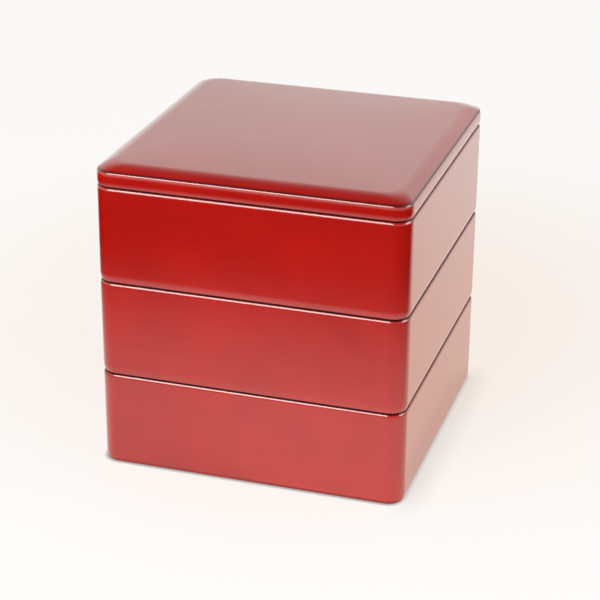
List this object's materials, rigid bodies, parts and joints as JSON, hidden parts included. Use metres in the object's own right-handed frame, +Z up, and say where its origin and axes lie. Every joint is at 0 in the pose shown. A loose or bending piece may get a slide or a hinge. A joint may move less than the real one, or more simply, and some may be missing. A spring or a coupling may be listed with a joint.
{
  "type": "stacking lacquer food box",
  "caption": "Square stacking food box in red lacquer: tiers that nest on raised inner lips under a crowned lid, black inside.",
  "frame": {"origin": "on the ground under the middle of the box", "axes": "+Z up, the front faces -Y, +X to the right"},
  "size_m": [0.195, 0.195, 0.1987],
  "materials": {
    "red_lacquer": "smooth satin red lacquer over wood, faint brush streaks",
    "black_lacquer": "smooth satin black lacquer over wood",
    "bare_wood": "bare planed wood, hidden inside the corner joints"
  },
  "bodies": {
    "lower_tier": {"lower_front_wall": "red_lacquer", "lower_right_wall": "red_lacquer", "lower_back_wall": "red_lacquer", "lower_left_wall": "red_lacquer", "lower_front_lining": "black_lacquer", "lower_right_lining": "black_lacquer", "lower_back_lining": "black_lacquer", "lower_left_lining": "black_lacquer", "lower_base_panel": "black_lacquer", "lower_corner_tongues": "bare_wood"},
    "middle_tier": {"middle_front_wall": "red_lacquer", "middle_right_wall": "red_lacquer", "middle_back_wall": "red_lacquer", "middle_left_wall": "red_lacquer", "middle_front_lining": "black_lacquer", "middle_right_lining": "black_lacquer", "middle_back_lining": "black_lacquer", "middle_left_lining": "black_lacquer", "middle_base_panel": "black_lacquer", "middle_corner_tongues": "bare_wood"},
    "upper_tier": {"upper_front_wall": "red_lacquer", "upper_right_wall": "red_lacquer", "upper_back_wall": "red_lacquer", "upper_left_wall": "red_lacquer", "upper_front_lining": "black_lacquer", "upper_right_lining": "black_lacquer", "upper_back_lining": "black_lacquer", "upper_left_lining": "black_lacquer", "upper_base_panel": "black_lacquer", "upper_corner_tongues": "bare_wood"},
    "lid": {"lid_front_rail": "red_lacquer", "lid_right_rail": "red_lacquer", "lid_back_rail": "red_lacquer", "lid_left_rail": "red_lacquer", "lid_top_panel": "red_lacquer"}
  },
  "joints": [
    {"name": "middle_tier_lift", "type": "slide", "parent": "lower_tier", "child": "middle_tier", "axis": [0, 0, 1], "range_m": [0, 0.07]},
    {"name": "upper_tier_lift", "type": "slide", "parent": "middle_tier", "child": "upper_tier", "axis": [0, 0, 1], "range_m": [0, 0.07]},
    {"name": "lid_lift", "type": "slide", "parent": "upper_tier", "child": "lid", "axis": [0, 0, 1], "range_m": [0, 0.07]}
  ]
}
